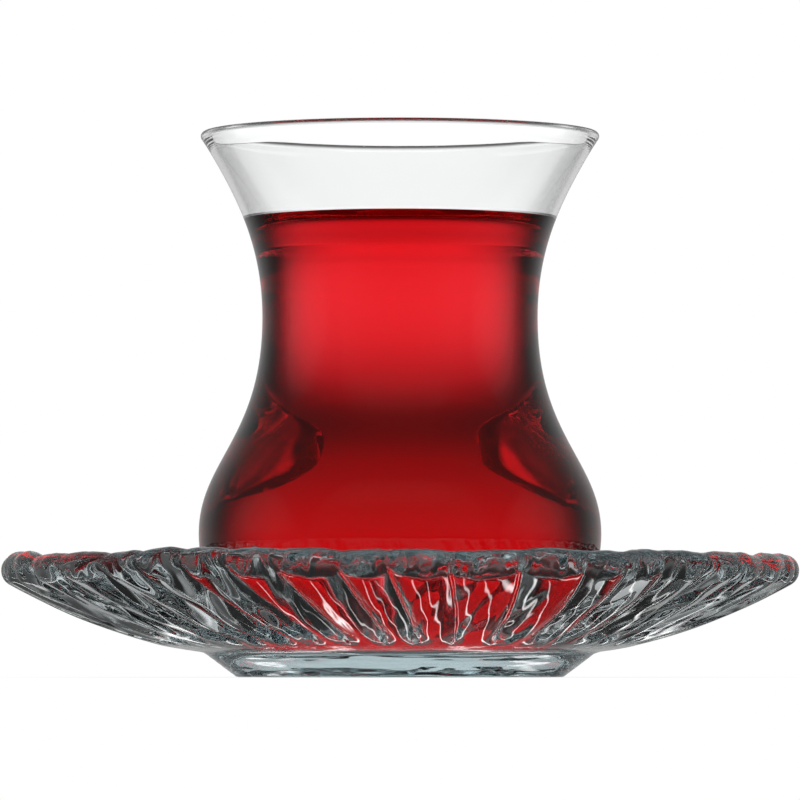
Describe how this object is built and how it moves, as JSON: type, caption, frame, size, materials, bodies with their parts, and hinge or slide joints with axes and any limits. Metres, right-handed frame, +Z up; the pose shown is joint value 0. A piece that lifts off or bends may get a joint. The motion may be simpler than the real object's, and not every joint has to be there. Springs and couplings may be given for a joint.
{
  "type": "tea glass on a saucer",
  "caption": "Tulip-shaped clear glass of black tea, standing on a round pressed-glass saucer with turned lobes.",
  "frame": {"origin": "centre of the saucer's foot, at the level of the table", "axes": "+Z up along the axis of the glass and the saucer"},
  "size_m": [0.1196, 0.1196, 0.0822],
  "materials": {
    "saucer_glass": "fire-polished pressed glass, faint grey-green tint",
    "clear_glass": "thin clear glass, smooth",
    "tea": "clear deep red black tea"
  },
  "bodies": {
    "root": {"saucer": "saucer_glass", "glass": "clear_glass", "tea": "tea"}
  },
  "joints": []
}
